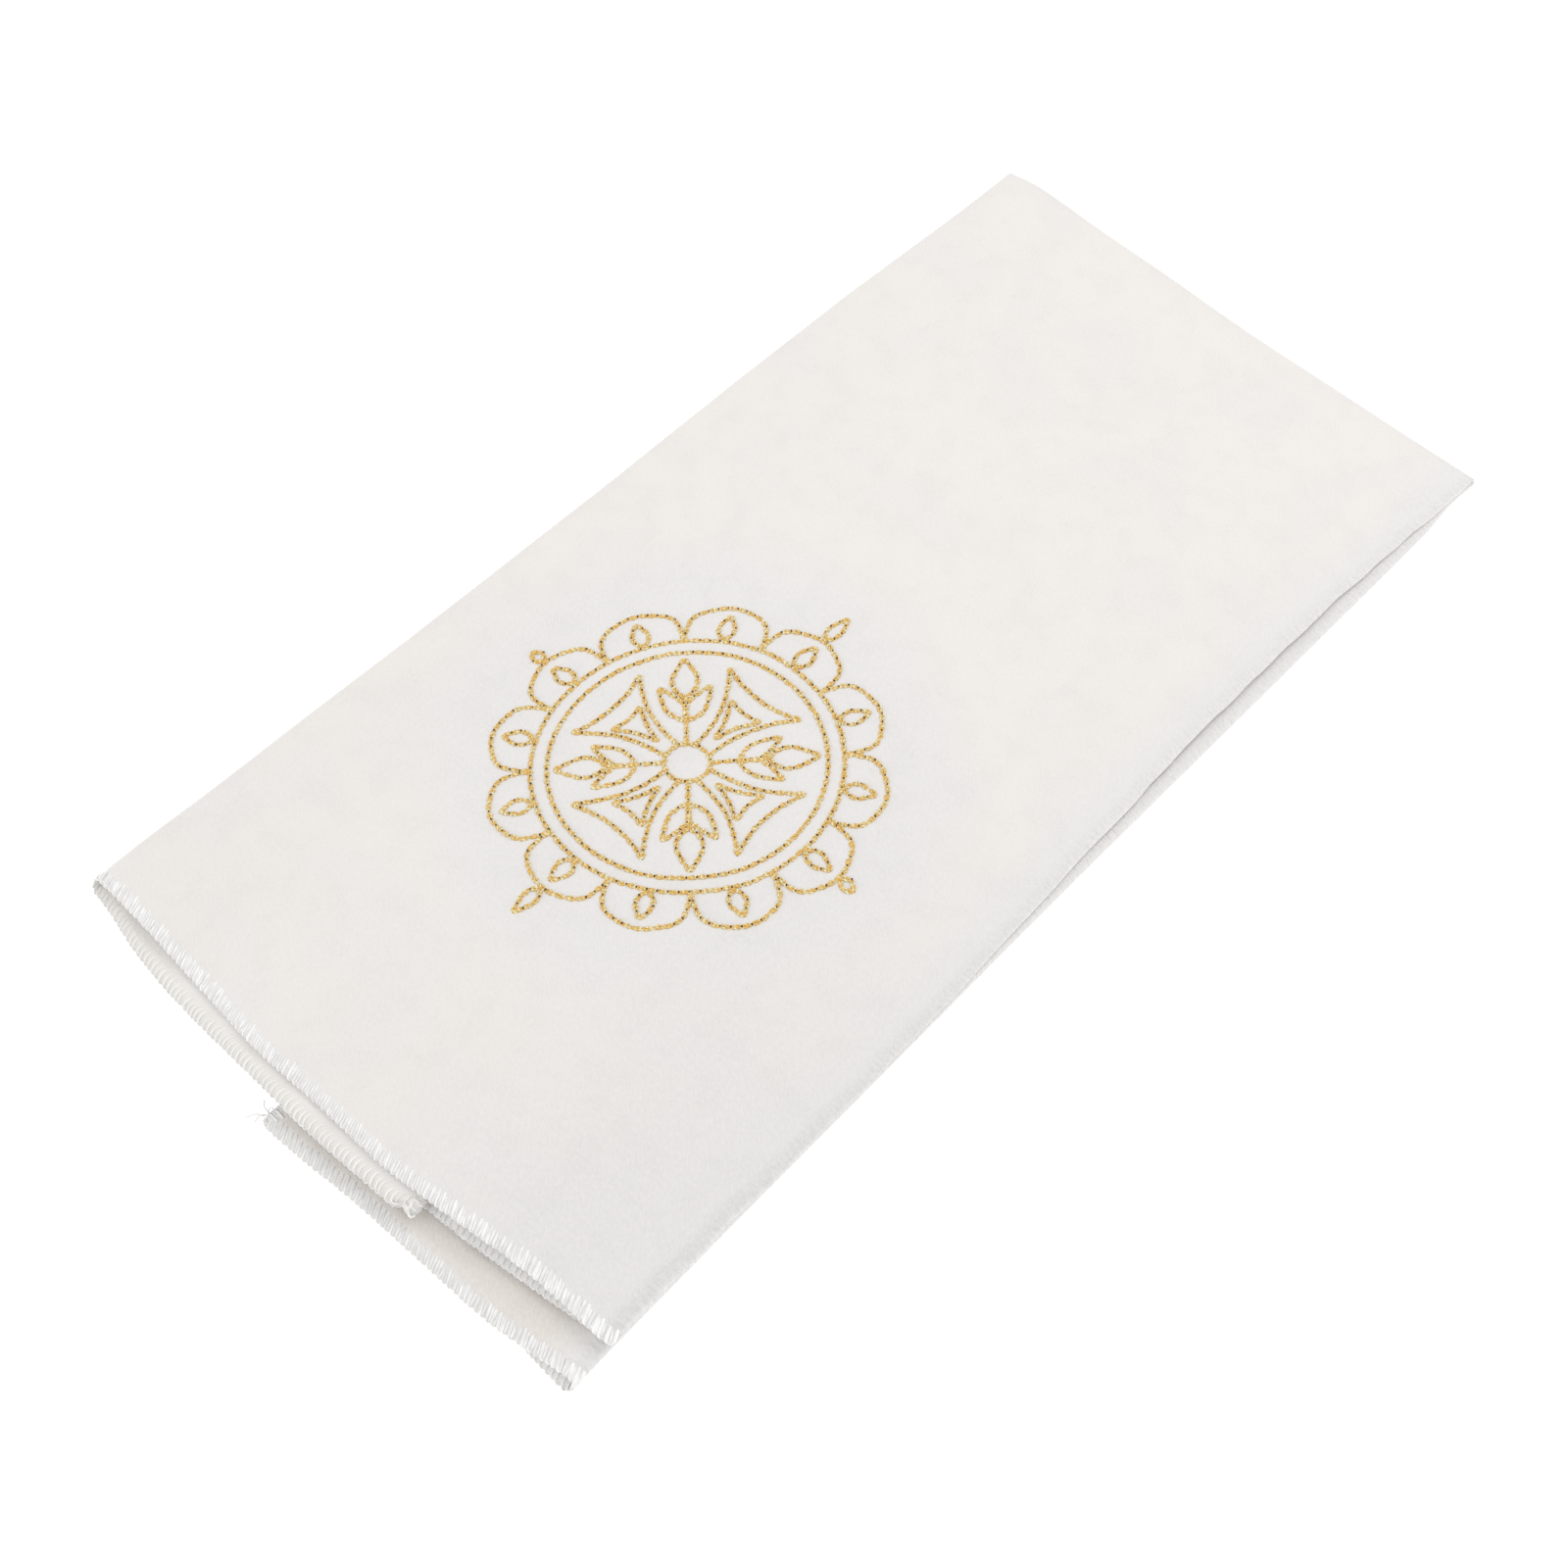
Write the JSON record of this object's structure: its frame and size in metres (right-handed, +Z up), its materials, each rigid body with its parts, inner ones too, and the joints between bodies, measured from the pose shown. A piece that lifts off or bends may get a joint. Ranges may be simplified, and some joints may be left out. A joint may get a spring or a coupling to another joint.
{
  "type": "folded purificator",
  "caption": "Rectangular white altar cloth with an overlocked edge, folded in thirds along its length and then in half, lying flat.",
  "frame": {"origin": "middle of the folded cloth's box, on the surface it lies on", "axes": "+X runs across the folded stack, +Y along it from the hems to the far fold, +Z up"},
  "size_m": [0.1294, 0.2642, 0.0091],
  "materials": {
    "white_cloth": "soft matte weave",
    "white_thread": "glossy edging thread",
    "gold_thread": "metallic embroidery thread"
  },
  "bodies": {
    "root": {"folded_cloth": "white_cloth"}
  },
  "joints": []
}
